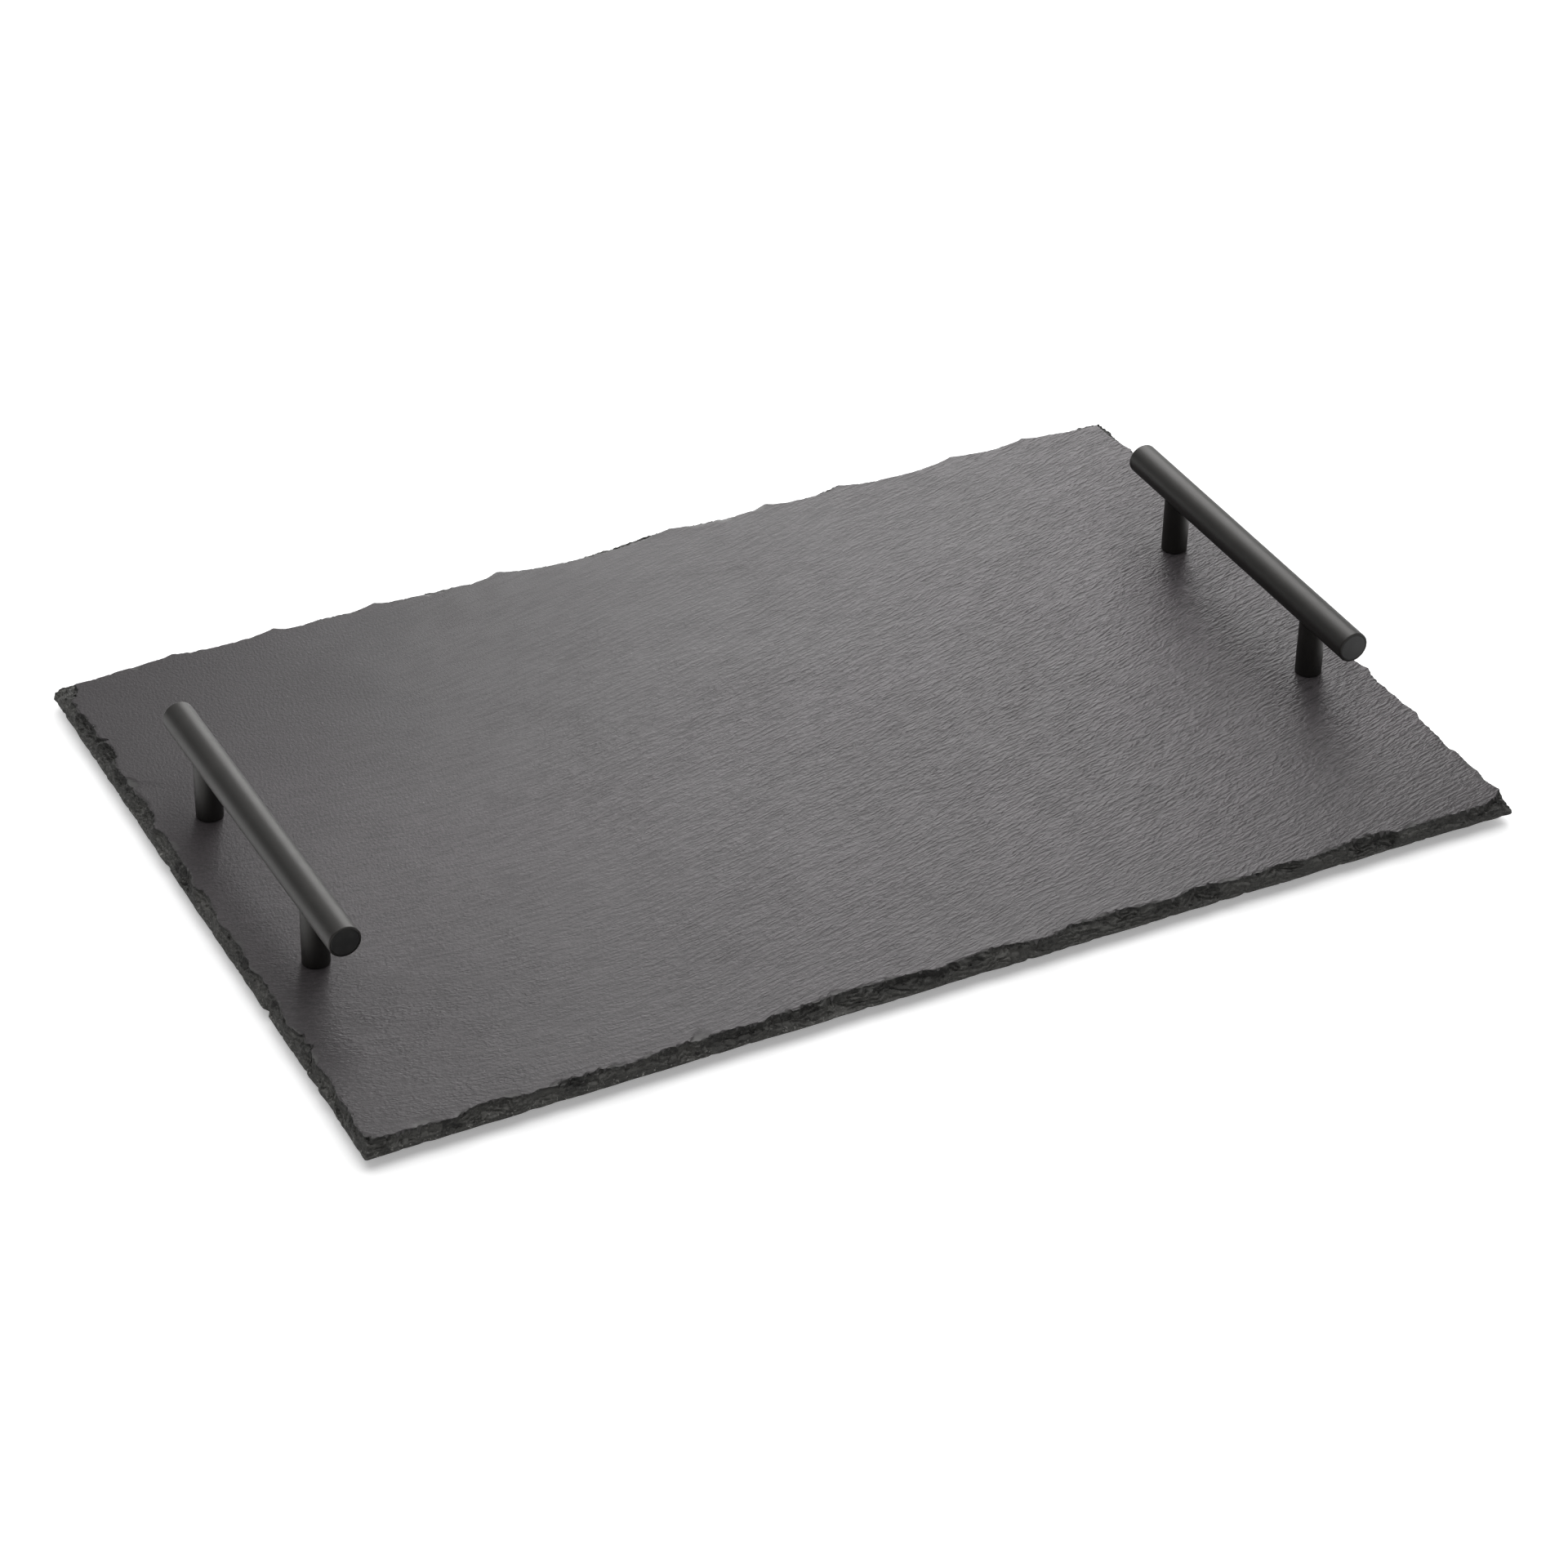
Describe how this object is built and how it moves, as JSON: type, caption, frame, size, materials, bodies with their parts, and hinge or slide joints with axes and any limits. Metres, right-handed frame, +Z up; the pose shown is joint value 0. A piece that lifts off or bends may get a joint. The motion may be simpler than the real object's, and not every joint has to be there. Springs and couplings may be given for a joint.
{
  "type": "slate serving tray",
  "caption": "Rectangular riven slate serving tray with hand-dressed chipped edges, a black tubular bar handle on posts near each short end, and rubber feet underneath.",
  "frame": {"origin": "middle of the resting plane, at the underside of the feet", "axes": "+X along the long side towards the right handle, +Y to the rear, +Z up"},
  "size_m": [0.454, 0.3, 0.043],
  "materials": {
    "slate": "riven natural cleft, lightly oiled, satin",
    "handle_black": "satin black powder coat",
    "plug_black": "matt black moulded",
    "zinc_steel": "zinc plated",
    "rubber": "matt black moulded rubber"
  },
  "bodies": {
    "root": {"slate_board": "slate", "left_bar": "handle_black", "left_front_end_plug": "plug_black", "left_rear_end_plug": "plug_black", "right_bar": "handle_black", "right_front_end_plug": "plug_black", "right_rear_end_plug": "plug_black", "left_front_post": "handle_black", "left_front_bar_nut": "zinc_steel", "left_front_stud": "zinc_steel", "left_front_screw": "zinc_steel", "left_front_washer": "zinc_steel", "left_rear_post": "handle_black", "left_rear_bar_nut": "zinc_steel", "left_rear_stud": "zinc_steel", "left_rear_screw": "zinc_steel", "left_rear_washer": "zinc_steel", "right_front_post": "handle_black", "right_front_bar_nut": "zinc_steel", "right_front_stud": "zinc_steel", "right_front_screw": "zinc_steel", "right_front_washer": "zinc_steel", "right_rear_post": "handle_black", "right_rear_bar_nut": "zinc_steel", "right_rear_stud": "zinc_steel", "right_rear_screw": "zinc_steel", "right_rear_washer": "zinc_steel", "front_left_foot": "rubber", "front_right_foot": "rubber", "rear_left_foot": "rubber", "rear_right_foot": "rubber"}
  },
  "joints": []
}
